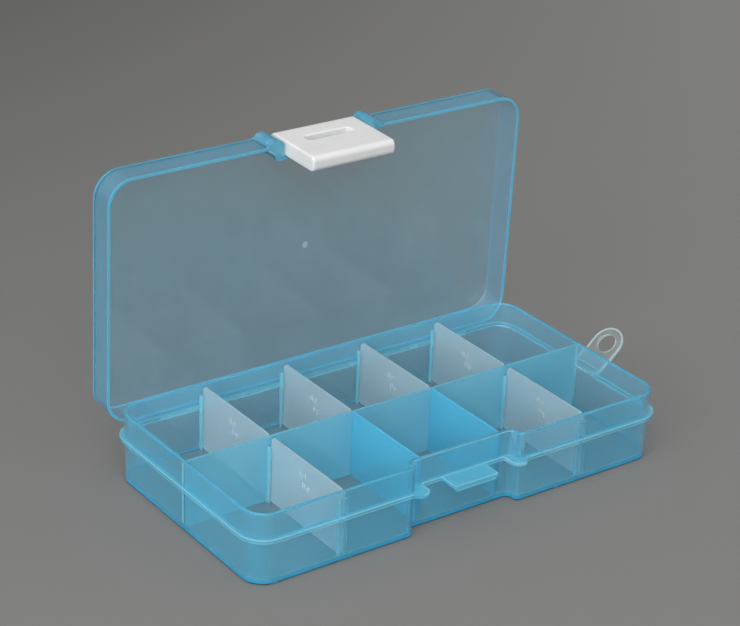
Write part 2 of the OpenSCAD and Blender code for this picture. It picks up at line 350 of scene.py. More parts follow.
class BEADBOX_PG_studio(bpy.types.PropertyGroup):
    """Camera, lamps and floor."""

    focal: number("Focal length", "Focal length of the camera, in mm", 110.56)
    camera_at: position("Camera", "Where the camera stands", (-0.325, -0.42485, 0.29915))
    camera_aim: direction("Camera aim", "Where the camera looks", (0.5393, 0.7245, -0.4292))
    camera_right: direction("Camera right", "The picture's right side", (0.8128, -0.5811, 0.0404))
    floor_half: length("Floor", "Half the side of the floor", 4000)
    sky_low: number("Low sky", "Strength of the light from the horizon", 0.29)
    sky_high: number("High sky", "Strength of the light from overhead", 0.7)
    sky_full: share("Full height", "How high up the sky is at its full strength", 0.75)
    sky_far: share("Far sky", "Share of the light that is left behind the box, low down", 0.4)
    sky_edge: share("Far edge", "How far behind the box the sky is at its weakest", 0.8)
    key_power: number("Key lamp", "Power of the key lamp, in watts", 15.6)
    key_size: length("Key lamp size", "Diameter of the key lamp", 1400)
    key_at: position("Key lamp place", "Where the key lamp hangs", (-0.75, -1.25, 1.3))
    side_power: number("Side lamp", "Power of the side lamp, in watts", 15)
    side_size: length("Side lamp size", "Diameter of the side lamp", 1200)
    side_at: position("Side lamp place", "Where the side lamp stands", (-1.6, -0.5, 0.7))


GROUPS = {
    "tray": BEADBOX_PG_tray,
    "nose": BEADBOX_PG_nose,
    "fittings": BEADBOX_PG_fittings,
    "lid": BEADBOX_PG_lid,
    "latch": BEADBOX_PG_latch,
    "divider": BEADBOX_PG_divider,
    "colours": BEADBOX_PG_colours,
    "studio": BEADBOX_PG_studio,
}


class BEADBOX_PG_all(bpy.types.PropertyGroup):
    """Every group of settings of the box."""

    __annotations__ = {name: PointerProperty(type=group) for name, group in GROUPS.items()}


# ------------------------------------------------------------------------------------------------ outlines


def turn(x, y, radius, start, end, hollow=False, steps=12):
    """An arc about (x, y) as pairs of a point and the outward direction there; angles are in degrees."""
    pairs = []
    for i in range(steps + 1):
        angle = math.radians(start + (end - start) * i / steps)
        away = Vector((math.cos(angle), math.sin(angle)))
        pairs.append((Vector((x, y)) + radius * away, -away if hollow else away))
    return pairs


def round_outline(x, y, radius, steps):
    """A full circle."""
    return turn(x, y, radius, 0, 360, steps=steps)[:-1]


def whole(left_half):
    """An outline from its left half, which runs from the back middle to the front middle."""
    right_half = [
        (Vector((-point.x, point.y)), Vector((-away.x, away.y))) for point, away in reversed(left_half)
    ]
    return left_half + right_half


def wall_outline(tray):
    """The outside of the tray's walls, seen from above."""
    x = tray.length / 2 - tray.corner
    y = tray.width / 2 - tray.corner
    front = -tray.width / 2
    step_x = tray.recess_half + tray.step_round
    step_y = front + tray.step_round
    inner = tray.recess_depth - tray.step_round
    return whole(
        turn(-x, y, tray.corner, 90, 180)
        + turn(-x, -y, tray.corner, 180, 270)
        + turn(-step_x, step_y, tray.step_round, 270, 360, steps=8)
        + turn(-tray.recess_half + inner, step_y, inner, 180, 90, hollow=True, steps=8)
    )


def flange_outline(tray, nose):
    """The outside of the flange and of the lid's skirt, with the two noses beside the latch."""
    reach = tray.flange_reach
    x = tray.length / 2 - tray.corner
    y = tray.width / 2 - tray.corner
    edge = -tray.width / 2 - reach
    recess_edge = edge + tray.recess_depth
    nose_x = nose.inner + nose.radius
    nose_y = edge - nose.reach + nose.radius
    rise = nose_y - edge + nose.blend
    blend_x = nose_x + math.sqrt((nose.radius + nose.blend) ** 2 - rise**2)
    meet = math.degrees(math.atan2(rise, blend_x - nose_x))
    corner = nose.corner
    return whole(
        turn(-x, y, tray.corner + reach, 90, 180)
        + turn(-x, -y, tray.corner + reach, 180, 270)
        + turn(-blend_x, edge - nose.blend, nose.blend, 90, meet, hollow=True, steps=5)
        + turn(-nose_x, nose_y, nose.radius, 180 + meet, 360, steps=14)
        + turn(-nose.inner + corner, recess_edge - corner, corner, 180, 90, hollow=True, steps=4)
    )


def plate_outline(x0, y0, x1, y1, near_round, far_round=None, steps=5):
    """A rectangle with rounded corners; far_round is the radius of the two at y1."""
    far_round = near_round if far_round is None else far_round
    return (
        turn(x0 + near_round, y0 + near_round, near_round, 180, 270, steps=steps)
        + turn(x1 - near_round, y0 + near_round, near_round, 270, 360, steps=steps)
        + turn(x1 - far_round, y1 - far_round, far_round, 0, 90, steps=steps)
        + turn(x0 + far_round, y1 - far_round, far_round, 90, 180, steps=steps)
    )


def tapered_outline(middle, thick_low, thick_high, low, high):
    """A standing wall's section that gets thinner towards its rounded top."""
    foot = thick_low / 20
    top = thick_high * 0.45
    return (
        turn(middle - thick_low / 2 + foot, low + foot, foot, 180, 270, steps=1)
        + turn(middle + thick_low / 2 - foot, low + foot, foot, 270, 360, steps=1)
        + turn(middle + thick_high / 2 - top, high - top, top, 0, 90, steps=5)
        + turn(middle - thick_high / 2 + top, high - top, top, 90, 180, steps=5)
    )


def rounded(corners, steps=5):
    """A profile's points from its corners (growth, height, radius); its two ends stay sharp."""
    points = []
    for i, (growth, height, radius) in enumerate(corners):
        here = Vector((growth, height))
        if radius == 0:
            points.append(here)
            continue
        before = (Vector(corners[i - 1][:2]) - here).normalized()
        after = (Vector(corners[i + 1][:2]) - here).normalized()
        half = before.angle(after) / 2
        centre = here + (before + after).normalized() * radius / math.sin(half)
        start = here + before * radius / math.tan(half) - centre
        end = here + after * radius / math.tan(half) - centre
        swing = start.angle(end)
        for k in range(steps + 1):
            t = k / steps
            blended = (start * math.sin((1 - t) * swing) + end * math.sin(t * swing)) / math.sin(swing)
            points.append(centre + blended)
    return points


# ------------------------------------------------------------------------------------------------ solids


def upright(x, y, height):
    """Places an outline drawn in plan."""
    return Vector((x, y, height))


def along_x(y, z, x):
    """Places an outline drawn in side view."""
    return Vector((x, y, z))


def along_y(x, z, y):
    """Places an outline drawn in front view."""
    return Vector((x, y, z))


def loft(outline, levels, place=upright):
    """A closed solid whose section at each level (growth, height) is the outline grown by that growth."""
    bm = bmesh.new()
    rings = []
    for growth, height in levels:
        rings.append([bm.verts.new(place(*(point + growth * away), height)) for point, away in outline])
    count = len(outline)
    for low, high in zip(rings, rings[1:]):
        for i in range(count):
            j = (i + 1) % count
            bm.faces.new((low[i], low[j], high[j], high[i]))
    for cap in (rings[0], rings[-1]):
        bm.faces.new(cap).material_index = 1
    bmesh.ops.remove_doubles(bm, verts=bm.verts, dist=1e-7)
    bmesh.ops.recalc_face_normals(bm, faces=bm.faces)
    return bm


def straight(low, high):
    """Two levels with no growth."""
    return [(0, low), (0, high)]


def soft_ends(low, high, radius, steps=4):
    """Levels from low to high, with both ends rounded."""
    return rounded(
        [(-radius * 1.6, low, 0), (0, low, radius), (0, high, radius), (-radius * 1.6, high, 0)], steps
    )


def tool(name, parts, material=None, end_material=None):
    """One object made of solids that don't meet each other; end_material goes on the ends of each loft."""
    mesh = bpy.data.meshes.new(name)
    joined = bmesh.new()
    for part in parts:
        part.to_mesh(mesh)
        part.free()
        joined.from_mesh(mesh)
    if not end_material:
        for face in joined.faces:
            face.material_index = 0
    joined.to_mesh(mesh)
    joined.free()
    obj = bpy.data.objects.new(name, mesh)
    bpy.context.scene.collection.objects.link(obj)
    for paint_on in (material, end_material):
        if paint_on:
            mesh.materials.append(paint_on)
    return obj


def repaint(obj, material, chosen):
    """Puts a material on the faces for which chosen(centre, normal) is true."""
    mesh = obj.data
    mesh.materials.append(material)
    slot = len(mesh.materials) - 1
    for face in mesh.polygons:
        if chosen(face.center, face.normal):
            face.material_index = slot


def combine(body, steps):
    """Applies (operation, tool) pairs to an object and removes the tools."""
    for operation, cutter in steps:
        cut = body.modifiers.new(cutter.name, "BOOLEAN")
        cut.operation = operation
        cut.object = cutter
        cut.solver = "MANIFOLD"
        cut.material_mode = "TRANSFER"
    bpy.context.view_layer.update()
    seen = body.evaluated_get(bpy.context.evaluated_depsgraph_get())
    mesh = bpy.data.meshes.new_from_object(seen)
    body.modifiers.clear()
    old = body.data
    body.data = mesh
    mesh.name = body.name
    bpy.data.meshes.remove(old)
    for _, cutter in steps:
        data = cutter.data
        bpy.data.objects.remove(cutter)
        bpy.data.meshes.remove(data)
    if not mesh.polygons:
        raise RuntimeError(f"{body.name}: the solids could not be combined")
    return body


def finish_piece(obj):
    """Smooth faces with sharp edges kept, and normals that leave flat faces flat."""
    obj.data.shade_smooth()
    obj.data.set_sharp_from_angle(angle=math.radians(SHARP_FROM))
    even = obj.modifiers.new("Even normals", "WEIGHTED_NORMAL")
    even.keep_sharp = True


def settings():
    """The scene's settings for the box."""
    return bpy.context.scene.bead_box


def joint(name):
    """A joint of the frame by its name."""
    return next(j for j in frame["joints"] if j["name"] == name)


def opened(obj):
    """Turns a piece that is drawn for the closed lid to where the lid rests."""
    hinge = joint("lid_hinge")
    pivot = Matrix.Translation(Vector(hinge["pos_m"]))
    angle = math.radians(-min(hinge["range_deg"]))
    obj.data.transform(pivot @ Matrix.Rotation(angle, 4, Vector(hinge["axis"])) @ pivot.inverted())


# ------------------------------------------------------------------------------------------------ materials


def new_group(name, inputs, outputs):
    """An empty shader node group with named sockets; returns its tree and its two end nodes."""
    tree = bpy.data.node_groups.new(name, "ShaderNodeTree")
    for label, kind, value in inputs:
        socket = tree.interface.new_socket(name=label, in_out="INPUT", socket_type=kind)
        socket.default_value = value
    for label, kind in outputs:
        tree.interface.new_socket(name=label, in_out="OUTPUT", socket_type=kind)
    return tree, tree.nodes.new("NodeGroupInput"), tree.nodes.new("NodeGroupOutput")


def add(tree, kind, **values):
    """A node with its properties and plain input values set; underscores in input names stand for spaces."""
    node = tree.nodes.new(kind)
    for key, value in values.items():
        if hasattr(node, key):
            setattr(node, key, value)
        else:
            node.inputs[key.replace("_", " ")].default_value = value
    return node


def join(tree, *joins):
    """Links nodes; each join is a node, its output, the next node and its input, by name or number."""
    for source, out, target, into in joins:
        tree.links.new(source.outputs[out], target.inputs[into])


def cloudy_group():
    """Colour that varies a little from place to place, as moulded plastic does."""
    if "Moulded cloud" in bpy.data.node_groups:
        return bpy.data.node_groups["Moulded cloud"]
    tree, start, end = new_group(
        "Moulded cloud",
        [
            ("Color", "NodeSocketColor", (1, 1, 1, 1)),
            ("Other Color", "NodeSocketColor", (1, 1, 1, 1)),
            ("Scale", "NodeSocketFloat", 60.0),
        ],
        [("Color", "NodeSocketColor")],
    )
    place = add(tree, "ShaderNodeTexCoord")
    noise = add(tree, "ShaderNodeTexNoise", Detail=3.0, Roughness=0.55)
    ramp = add(tree, "ShaderNodeMapRange", From_Min=0.35, From_Max=0.65)
    mix = add(tree, "ShaderNodeMix", data_type="RGBA")
    join(
        tree,
        (place, "Object", noise, "Vector"),
        (start, "Scale", noise, "Scale"),
        (noise, "Fac", ramp, "Value"),
        (ramp, "Result", mix, MIX_FACTOR),
        (start, "Color", mix, MIX_A),
        (start, "Other Color", mix, MIX_B),
        (mix, MIX_COLOUR, end, "Color"),
    )
    return tree


def scuff_group():
    """Fine handling marks: a height for bump and a roughness."""
    if "Handling scuffs" in bpy.data.node_groups:
        return bpy.data.node_groups["Handling scuffs"]
    tree, start, end = new_group(
        "Handling scuffs",
        [
            ("Scale", "NodeSocketFloat", 900.0),
            ("Low Roughness", "NodeSocketFloat", 0.05),
            ("High Roughness", "NodeSocketFloat", 0.2),
        ],
        [("Height", "NodeSocketFloat"), ("Roughness", "NodeSocketFloat")],
    )
    place = add(tree, "ShaderNodeTexCoord")
    stretch = add(tree, "ShaderNodeMapping", Rotation=(0.4, 0.7, 0.5), Scale=(1.0, 0.06, 1.0))
    fine = add(tree, "ShaderNodeTexNoise", Detail=2.0)
    broad = add(tree, "ShaderNodeTexNoise", Scale=70.0, Detail=2.0)
    lines = add(tree, "ShaderNodeMapRange", From_Min=0.62, From_Max=0.75)
    patches = add(tree, "ShaderNodeMapRange", From_Min=0.45, From_Max=0.7)
    height = add(tree, "ShaderNodeMath", operation="MULTIPLY")
    rough = add(tree, "ShaderNodeMapRange")
    join(
        tree,
        (place, "Object", stretch, "Vector"),
        (stretch, "Vector", fine, "Vector"),
        (start, "Scale", fine, "Scale"),
        (place, "Object", broad, "Vector"),
        (fine, "Fac", lines, "Value"),
        (broad, "Fac", patches, "Value"),
        (lines, "Result", height, 0),
        (patches, "Result", height, 1),
        (patches, "Result", rough, "Value"),
        (start, "Low Roughness", rough, "To Min"),
        (start, "High Roughness", rough, "To Max"),
        (height, "Value", end, "Height"),
        (rough, "Result", end, "Roughness"),
    )
    return tree


def cloud_of(tree, base, shade, scale):
    """The cloud group in a material, between a colour and a darker shade of it."""
    full = (*base, 1)
    darker = (*(base * shade), 1)
    return add(tree, "ShaderNodeGroup", node_tree=cloudy_group(), Color=full, Other_Color=darker, Scale=scale)


def scuffs_of(tree, smooth, worn, strength, depth):
    """The scuff group in a material and the bump that it feeds; depth is in mm."""
    scuffs = add(tree, "ShaderNodeGroup", node_tree=scuff_group(), Low_Roughness=smooth, High_Roughness=worn)
    bump = add(tree, "ShaderNodeBump", Strength=strength, Distance=depth * MM)
    join(tree, (scuffs, "Height", bump, "Height"))
    return scuffs, bump


def bare_material(name):
    """A material with only its output node."""
    material = bpy.data.materials.new(name)
    material.use_nodes = True
    tree = material.node_tree
    tree.nodes.clear()
    return material, tree, tree.nodes.new("ShaderNodeOutputMaterial")


def clear_plastic(name, tint, haze, haze_share, smooth, worn, lamp_share):
    """Clear moulded plastic: glass that lets lamps through, with a share of coloured scattering."""
    material, tree, out = bare_material(name)
    dimmed = [math.sqrt(c) * lamp_share for c in tint]
    glass = add(tree, "ShaderNodeBsdfPrincipled", IOR=CLEAR_IOR, Transmission_Weight=1.0)
    tint_cloud = cloud_of(tree, Vector(tint), TINT_SHADE, scale=45.0)
    scuffs, bump = scuffs_of(tree, smooth, worn, strength=0.05, depth=0.02)
    window = add(tree, "ShaderNodeBsdfTransparent", Color=(*dimmed, 1))
    path = add(tree, "ShaderNodeLightPath")
    shadow = add(tree, "ShaderNodeMixShader")
    body = add(tree, "ShaderNodeBsdfPrincipled", IOR=CLEAR_IOR)
    haze_cloud = cloud_of(tree, Vector(haze), HAZE_SHADE, scale=30.0)
    mix = add(tree, "ShaderNodeMixShader", Fac=haze_share)
    join(
        tree,
        (tint_cloud, "Color", glass, "Base Color"),
        (scuffs, "Roughness", glass, "Roughness"),
        (bump, "Normal", glass, "Normal"),
        (haze_cloud, "Color", body, "Base Color"),
        (scuffs, "Roughness", body, "Roughness"),
        (path, "Is Shadow Ray", shadow, 0),
        (glass, 0, shadow, 1),
        (window, 0, shadow, 2),
        (shadow, 0, mix, 1),
        (body, 0, mix, 2),
        (mix, 0, out, "Surface"),
    )
    return material


def white_plastic(name, base):
    """Opaque satin plastic with faint handling marks."""
    material, tree, out = bare_material(name)
    skin = add(
        tree,
        "ShaderNodeBsdfPrincipled",
        IOR=WHITE_IOR,
        Subsurface_Weight=0.5,
        Subsurface_Radius=(1, 1, 1),
        Subsurface_Scale=1.2 * MM,
    )
    cloud = cloud_of(tree, Vector(base), WHITE_SHADE, scale=120.0)
    scuffs, bump = scuffs_of(tree, smooth=0.42, worn=0.58, strength=0.3, depth=0.03)
    join(
        tree,
        (cloud, "Color", skin, "Base Color"),
        (scuffs, "Roughness", skin, "Roughness"),
        (bump, "Normal", skin, "Normal"),
        (skin, 0, out, "Surface"),
    )
    return material


def plastic(kind):
    """One of the clear plastics, made the first time it is asked for."""
    name, tint, haze, _, smooth, worn = PLASTICS[kind]
    c = settings().colours
    tint_colour = getattr(c, tint + "_tint")
    haze_colour = getattr(c, haze + "_haze")
    haze_share = getattr(c, kind + "_share")
    lamp_share = c.foot_lamp_share if kind in ("foot", "sole") else c.lamp_share
    made = bpy.data.materials.get(name)
    return made or clear_plastic(name, tint_colour, haze_colour, haze_share, smooth, worn, lamp_share)


# ------------------------------------------------------------------------------------------------ operators


class BEADBOX_OT_tray(bpy.types.Operator):
    """Build the tray with its flange, partitions, guide ribs, keeper and hang tab."""

    bl_idname = "bead_box.tray"
    bl_label = "Tray"

    def execute(self, context):
        s = settings()
        tray = s.tray
        band = tray.floor * BAND
        glow = tray.floor * GLOW
        shell_levels = rounded(
            [
                (-tray.draft - tray.foot_round * 1.1, 0, 0),
                (-tray.draft, 0, tray.foot_round),
                (-tray.draft * (1 - band / tray.height), band, 0),
                (-tray.draft * (1 - glow / tray.height), glow, 0),
                (0, tray.height, tray.lip_round),
                (-tray.wall, tray.height, tray.lip_round),
                (-tray.draft - tray.wall, tray.floor, tray.cove),
                (-tray.draft - tray.wall - tray.cove, tray.floor, 0),
            ]
        )
        body = tool("tray_moulding", [loft(wall_outline(tray), shell_levels)], plastic("wall"))
        steps = [
            ("UNION", self.flange(s)),
            ("UNION", tool("long partition", [self.partition(s)], plastic("partition"))),
            ("UNION", tool("cross walls", self.cross_walls(s), plastic("cross"))),
            # painted glow: the seams and the guide ribs scatter more brightly than the walls, for light
            # carried along them
            ("UNION", tool("seams", self.seams(s), plastic("lip"))),
            ("UNION", tool("guide ribs", self.ribs(s), plastic("rib"))),
            ("UNION", self.keeper(s)),
            ("UNION", self.keeper_lip(s)),
        ]
        combine(body, steps + self.hang_tab(s))
        for kind, chosen in self.zones(tray, band, glow):
            repaint(body, plastic(kind), chosen)
        finish_piece(body)
        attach(body, "tray")
        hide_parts("tray")
        return {"FINISHED"}

    @staticmethod
    def zones(tray, band, glow):
        """Painted zones, each a plastic and a test of a face's centre and normal; later ones lie on top."""
        rim = tray.height - tray.lip_round * 1.05
        hair = tray.wall / 20
        inner_x = tray.length / 2 - tray.wall
        outer_x = tray.length / 2 + tray.wall
        inner_y = tray.width / 2 - tray.recess_depth - tray.wall * 1.1
        recess_y = tray.width / 2 - tray.recess_depth

        def on_wall(at):
            """Tells the outer walls from the partitions."""
            return inner_x < abs(at.x) < outer_x or abs(at.y) > inner_y

        def on_step(at):
            """Tells the curved steps at the recess's ends."""
            return at.y < -inner_y and abs(abs(at.x) - tray.recess_half - tray.wall) < tray.wall * 1.15

        def in_recess(at):
            """Tells the recess's wall from the other walls."""
            return at.y < -tray.corner and abs(at.x) < tray.recess_half

        def recess_face(at):
            """Tells the outer face of the recess's wall."""
            return in_recess(at) and abs(-at.y - recess_y) < tray.wall / 2

        def at_hinge(at, n):
            """Tells the part of the flange that carries the film hinge."""
            low = tray.flange_low - hair
            behind = at.y > tray.width / 2 + hair and abs(at.x) < tray.hinge_half
            return behind and low < at.z < low + tray.flange_thick * 1.1

        def on_rim(at, n):
            """Tells the rim, but for the recess's."""
            return at.z > rim and on_wall(at) and not in_recess(at)

        def recess_rim(at, n):
            """Tells the outer slope of the recess's rim."""
            return at.z > rim and SLIGHT < n.z < 0.8 and n.y < -SLIGHT and in_recess(at)

        return (
            ("film", at_hinge),
            ("pane", lambda at, n: at.z < tray.floor * 1.02 and abs(n.z) > SQUARE),
            ("step", lambda at, n: glow < at.z < rim and on_step(at)),
            ("step", lambda at, n: glow < at.z < rim and n.y < -SQUARE and recess_face(at)),
            # painted glow: the rims, the recess's rim and the band above the foot scatter more brightly than
            # the walls, for light carried to the plastic's edges
            ("rim", on_rim),
            ("lip", recess_rim),
            ("rim", lambda at, n: band < at.z < glow and abs(n.z) < SLIGHT and on_wall(at)),
            # the foot: the deep blue of the plastic there, with painted shade of its contact with the floor
            ("foot", lambda at, n: at.z < band and -SQUARE < n.z < SLIGHT and on_wall(at)),
            # painted contact shadow: the underside of the foot's rounding is painted near black
            ("sole", lambda at, n: at.z < tray.foot_round and -SQUARE < n.z < DOWNWARD),
        )

    @staticmethod
    def flange(s):
        """The flange with its two noses, set back along the hinge."""
        tray = s.tray
        low = tray.flange_low
        high = low + tray.flange_thick
        ring = loft(flange_outline(tray, s.nose), soft_ends(low, high, tray.flange_round))
        # painted highlight: the flange's rounded edges get the bright lip plastic, its flat faces the flange
        # plastic
        plate = tool("flange", [ring], plastic("lip"), plastic("flange"))
        flat = tray.flange_thick / 2 - tray.flange_round
        repaint(plate, plastic("flange"), lambda at, n: abs(at.z - (low + high) / 2) < flat)
        inside = loft(wall_outline(tray), [(-tray.wall / 2, 0), (-tray.wall / 2, tray.height)])
        core = tool("flange core", [inside])
        edge = tray.width / 2 + tray.flange_reach
        half = tray.hinge_half
        gap = plate_outline(-half, edge - tray.hinge_setback, half, edge + tray.wall, tray.hinge_setback / 4)
        setback = tool("hinge set-back", [loft(gap, straight(0, tray.height))])
        return combine(plate, [("DIFFERENCE", core), ("DIFFERENCE", setback)])

    @staticmethod
    def partition(s):
        """The long partition, with a rounded top edge."""
        tray, fit = s.tray, s.fittings
        top = tray.height - fit.partition_drop
        side = tapered_outline(0, fit.partition, fit.partition_top, tray.floor / 2, top)
        reach = (tray.length - tray.wall) / 2 - tray.draft
        return loft(side, straight(-reach, reach), along_x)

    @staticmethod
    def cross_walls(s):
        """The two moulded cross walls behind the recess."""
        tray, fit = s.tray, s.fittings
        top = tray.height - fit.partition_drop * 2
        front = -tray.width / 2 + tray.recess_depth + tray.wall / 2 + tray.draft
        walls = []
        for side in (-1, 1):
            x = side * fit.pitch / 2
            face = tapered_outline(x, fit.partition, fit.partition_top, tray.floor / 2, top)
            walls.append(loft(face, straight(front, -fit.partition / 4), along_y))
        return walls

    @staticmethod
    def seams(s):
        """The narrow seams where the long partition meets the end walls, with a painted glow."""
        tray, fit = s.tray, s.fittings
        outer = tray.length / 2
        skin = tray.draft * 0.06
        made = []
        for side in (-1, 1):

            def lean(x, y, z):
                """Follows the draft of the end wall."""
                return Vector((x - side * tray.draft * (1 - z / tray.height), y, z))

            ends = sorted((side * (outer - tray.wall * 1.3), side * (outer + skin)))
            plan = plate_outline(ends[0], -fit.seam, ends[1], fit.seam, skin)
            made.append(loft(plan, straight(tray.floor * GLOW, tray.height - tray.lip_round * 1.2), lean))
        return made

    @staticmethod
    def ribs(s):
        """The pairs of guide ribs that hold the loose dividers."""
        tray, fit = s.tray, s.fittings
        top = tray.height - fit.rib_drop
        levels = rounded([(0, tray.floor / 2, 0), (0, top, fit.rib_round), (-fit.rib_round * 1.2, top, 0)])
        inner = tray.width / 2 - tray.wall
        spans = (
            (fit.partition / 4, fit.partition / 2 + fit.rib_depth),
            (inner - fit.rib_depth, inner + tray.wall / 3),
        )
        made = []
        for row, columns in COLUMNS.items():
            for column, side, (near, far) in product(columns, (-1, 1), spans):
                x = column * fit.pitch + side * (fit.rib_near + fit.rib_thick / 2)
                low = x - fit.rib_thick / 2
                high = x + fit.rib_thick / 2
                ends = sorted((row * near, row * far))
                made.append(loft(plate_outline(low, ends[0], high, ends[1], fit.rib_round), levels))
        return made

    @staticmethod
    def keeper(s):
        """The tongue that the latch takes in its slot."""
        tray, fit = s.tray, s.fittings
        wall = -tray.width / 2 + tray.recess_depth
        front = wall - tray.flange_reach - fit.keeper_reach
        plan = plate_outline(
            -fit.keeper_half, front, fit.keeper_half, wall + tray.wall / 2, fit.keeper_corner, tray.wall / 5
        )
        skin = tray.flange_thick * 0.03
        low = tray.flange_low + skin
        high = tray.flange_low + tray.flange_thick - skin
        soft = tray.flange_round * 0.8
        # painted highlight on the tongue's rounded edges
        tongue = tool("keeper", [loft(plan, soft_ends(low, high, soft))], plastic("lip"), plastic("flange"))
        repaint(tongue, plastic("flange"), lambda at, n: low + soft < at.z < high - soft)
        return tongue

    @staticmethod
    def keeper_lip(s):
        """The lip under the tongue's front edge."""
        tray, fit = s.tray, s.fittings
        front = -tray.width / 2 + tray.recess_depth - tray.flange_reach - fit.keeper_reach
        skin = tray.flange_thick * 0.06
        plan = plate_outline(
            -fit.keeper_half + fit.keeper_corner,
            front + skin,
            fit.keeper_half - fit.keeper_corner,
            front + fit.keeper_lip,
            fit.keeper_lip / 3,
        )
        low = tray.flange_low - fit.keeper_drop
        soft = fit.keeper_lip / 6
        bar = loft(plan, soft_ends(low, tray.flange_low + tray.flange_thick / 2, soft))
        # painted highlight on the lip's lower edge
        lip = tool("keeper lip", [bar], plastic("flange"))
        repaint(lip, plastic("lip"), lambda at, n: at.z < low + soft)
        return lip

    @staticmethod
    def hang_tab(s):
        """The hang tab's root, fold, plate and hole, as steps for combine."""
        tray, fit = s.tray, s.fittings
        half = fit.tab_thick / 2
        middle = tray.flange_low + half
        fold_x = tray.length / 2 + tray.flange_reach + fit.tab_root
        thin = half * 0.94
        # the root and the fold are a little narrower than the plate, so that no two sides lie in one plane
        skin = half * 0.06
        root_half = fit.tab_half - skin
        bar_half = root_half - skin
        root = loft(
            plate_outline(
                tray.length / 2 - tray.wall / 2,
                -fit.tab_offset - root_half,
                fold_x,
                -fit.tab_offset + root_half,
                fit.tab_half / 40,
            ),
            soft_ends(middle - thin + skin, middle + thin - skin, half * 0.5),
        )
        bar = loft(
            round_outline(fold_x, middle, half * 0.97, 20),
            soft_ends(-fit.tab_offset - bar_half, -fit.tab_offset + bar_half, half * 0.4),
            along_y,
        )
        plan = (
            turn(fit.tab_length, 0, fit.tab_half, -90, 90, steps=22)
            + turn(half, fit.tab_half - half, half, 90, 180, steps=3)
            + turn(half, -fit.tab_half + half, half, 180, 270, steps=3)
        )
        plate = loft(plan, soft_ends(-thin, thin, half * 0.6))
        flare = half * 0.7
        bell = []
        for a in (0, 0.4, 0.8, 1.2):
            bell.append((flare * (1 - math.cos(a)), half - half * 0.8 * (1 - math.sin(a))))
        bell += [(flare, half), (flare, 2 * half)]
        hole = round_outline(fit.tab_length, 0, fit.tab_hole, 40)
        cut = loft(hole, [(grow, -level) for grow, level in reversed(bell)] + bell)
        tilt = Matrix.Translation((fold_x, -fit.tab_offset, middle)) @ Matrix.Rotation(-fit.tab_angle, 4, "Y")
        for part in (plate, cut):
            bmesh.ops.transform(part, matrix=tilt, verts=part.verts)
        # painted highlight on the hang tab's rounded edges
        clear, lit = plastic("tab"), plastic("tab_edge")
        return [
            ("UNION", tool("tab root", [root], lit, clear)),
            ("UNION", tool("tab fold", [bar], clear, lit)),
            ("UNION", tool("tab plate", [plate], lit, clear)),
            ("DIFFERENCE", tool("tab hole", [cut], lit)),
        ]


class BEADBOX_OT_film(bpy.types.Operator):
    """Build the thin film that joins the flange and the lid, as a straight strip."""

    bl_idname = "bead_box.film"
    bl_label = "Film hinge"

    def execute(self, context):
        s = settings()
        tray = s.tray
        axis = Vector(joint("lid_hinge")["pos_m"])
        edge = tray.width / 2 + tray.flange_reach
        start = Vector((edge - tray.hinge_setback * 1.5, tray.flange_low + tray.flange_thick / 2))
        end = Vector((axis.y + tray.hinge_setback * 1.35, axis.z + tray.hinge_setback * 0.65))
        half = tray.flange_thick / 6
        along = (end - start).normalized()
        across = Vector((-along.y, along.x)) * half
        steps = 8
        line = [start.lerp(end, i / steps) for i in range(steps + 1)]
        outline = [(p - across, -across / half) for p in line]
        outline += [(p + across, across / half) for p in reversed(line)]
        reach = tray.hinge_half - tray.hinge_setback / 2
        film = tool("hinge_strip", [loft(outline, straight(-reach, reach), along_x)], plastic("skirt"))
        bent = start.lerp(end, 0.35).x
        repaint(film, plastic("film"), lambda at, n: at.y < bent)
        finish_piece(film)
        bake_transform(film)
        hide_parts("hinge_film")
        return {"FINISHED"}


